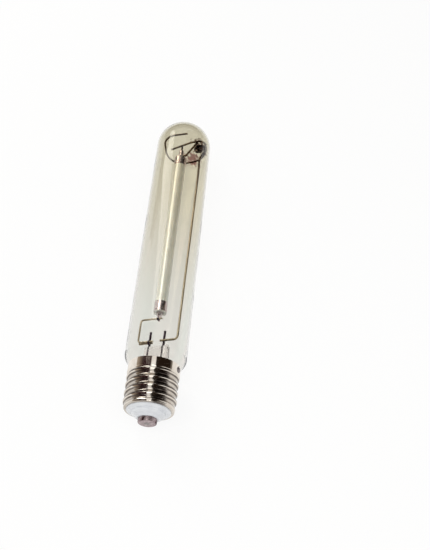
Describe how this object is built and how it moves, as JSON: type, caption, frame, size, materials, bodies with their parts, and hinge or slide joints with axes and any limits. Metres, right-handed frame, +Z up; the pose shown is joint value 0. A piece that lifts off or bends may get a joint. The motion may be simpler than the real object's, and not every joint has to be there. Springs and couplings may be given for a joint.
{
  "type": "high pressure sodium lamp",
  "caption": "Tubular clear-glass discharge lamp with a long translucent ceramic arc tube on a wire mount, a braced round dome and a coarse screw cap with a raised centre contact.",
  "frame": {"origin": "centre of the end contact's outer face", "axes": "+Y along the lamp from the contact to the top of the dome, +Z up with the lamp lying on its bulb; the flat wire mount leans 19 degrees about +Y, its long rod on the +X side"},
  "size_m": [0.047, 0.285, 0.047],
  "materials": {
    "bulb_glass": "clear hard glass with a faint warm grey tint",
    "stem_glass": "clear pressed glass",
    "cap_metal": "bright nickel plate on rolled sheet",
    "ceramic_white": "satin white",
    "contact_metal": "nickel plate, worn matt on the face",
    "solder": "dull solder",
    "wire_metal": "drawn nickel-plated iron wire",
    "lead_metal": "tungsten rod, darkened where the glass was pressed round it",
    "getter_metal": "dark, flashed",
    "arc_ceramic": "translucent polycrystalline alumina",
    "seal_frit": "fused sealing glass",
    "niobium": "grey niobium",
    "tungsten": "sintered tungsten",
    "amalgam": "metallic drop",
    "cement": "matt capping cement"
  },
  "bodies": {
    "root": {"outer_bulb": "bulb_glass", "stem_press": "stem_glass", "exhaust_tube": "stem_glass", "cap_shell": "cap_metal", "cap_insulator": "ceramic_white", "contact_plate": "contact_metal", "contact_solder": "solder", "collar_solder": "solder", "contact_wire": "wire_metal", "shell_wire": "wire_metal", "lower_bracket_wire": "wire_metal", "frame_rod": "wire_metal", "dome_spring_ring": "wire_metal", "upper_guide_pin": "wire_metal", "current_strap": "wire_metal", "getter_holder": "wire_metal", "lead_rod_contact_side": "lead_metal", "lead_rod_shell_side": "lead_metal", "getter_ring": "getter_metal", "arc_tube_body": "arc_ceramic", "lower_end_plug": "arc_ceramic", "upper_end_plug": "arc_ceramic", "lower_seal_ring": "seal_frit", "upper_seal_ring": "seal_frit", "lower_feedthrough_tube": "niobium", "upper_feedthrough_tube": "niobium", "lower_heat_band": "niobium", "upper_heat_band": "niobium", "lower_electrode_rod": "tungsten", "upper_electrode_rod": "tungsten", "lower_electrode_coil": "tungsten", "upper_electrode_coil": "tungsten", "amalgam_pellet": "amalgam", "cap_cement": "cement"}
  },
  "joints": []
}
